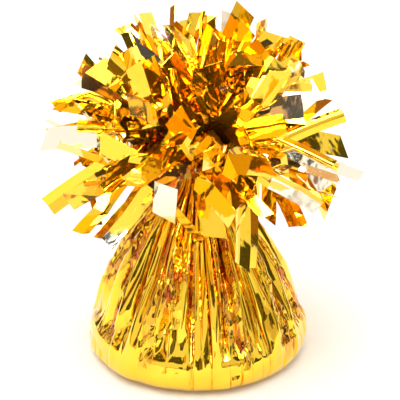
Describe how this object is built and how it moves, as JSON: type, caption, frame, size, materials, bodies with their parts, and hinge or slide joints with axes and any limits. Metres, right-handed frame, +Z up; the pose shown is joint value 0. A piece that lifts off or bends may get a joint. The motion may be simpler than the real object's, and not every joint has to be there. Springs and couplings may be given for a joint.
{
  "type": "foil balloon weight",
  "caption": "Balloon weight: a cast weight in a tub, wrapped in pleated gold film that is tied at the neck and cut into a burst of strips above it.",
  "frame": {"origin": "centre of the underside, at the level it stands on", "axes": "+Z up through the neck and the burst of strips; the side that faces the viewer is -Y; +X is to the viewer's right"},
  "size_m": [0.1124, 0.1109, 0.1298],
  "materials": {
    "film": "metallised polyester film, gold lacquer over a mirror-bright aluminium coat, creased",
    "tub": "moulded white polypropylene",
    "casting": "poured cement, matt and slightly pitted",
    "tie": "gold plastic sheath of a twist tie",
    "wire": "soft galvanised steel wire"
  },
  "bodies": {
    "root": {"weight_tub": "tub", "cast_weight": "casting", "inner_wrap": "film", "outer_wrap": "film", "tie_sheath": "tie", "tie_wire": "wire", "fringe_low_01": "film", "fringe_low_02": "film", "fringe_low_03": "film", "fringe_low_04": "film", "fringe_low_05": "film", "fringe_low_06": "film", "fringe_low_07": "film", "fringe_low_08": "film", "fringe_low_09": "film", "fringe_low_10": "film", "fringe_low_11": "film", "fringe_low_12": "film", "fringe_mid_01": "film", "fringe_mid_02": "film", "fringe_mid_03": "film", "fringe_mid_04": "film", "fringe_mid_05": "film", "fringe_mid_06": "film", "fringe_mid_07": "film", "fringe_mid_08": "film", "fringe_mid_09": "film", "fringe_mid_10": "film", "fringe_mid_11": "film", "fringe_mid_12": "film", "fringe_high_01": "film", "fringe_high_02": "film", "fringe_high_03": "film", "fringe_high_04": "film", "fringe_high_05": "film", "fringe_high_06": "film", "fringe_high_07": "film", "fringe_high_08": "film", "fringe_high_09": "film", "fringe_high_10": "film", "fringe_high_11": "film", "fringe_high_12": "film", "fringe_crown_01": "film", "fringe_crown_02": "film", "fringe_crown_03": "film", "fringe_crown_04": "film", "fringe_crown_05": "film", "fringe_crown_06": "film", "fringe_peak_01": "film", "fringe_peak_02": "film", "fringe_peak_03": "film"}
  },
  "joints": []
}
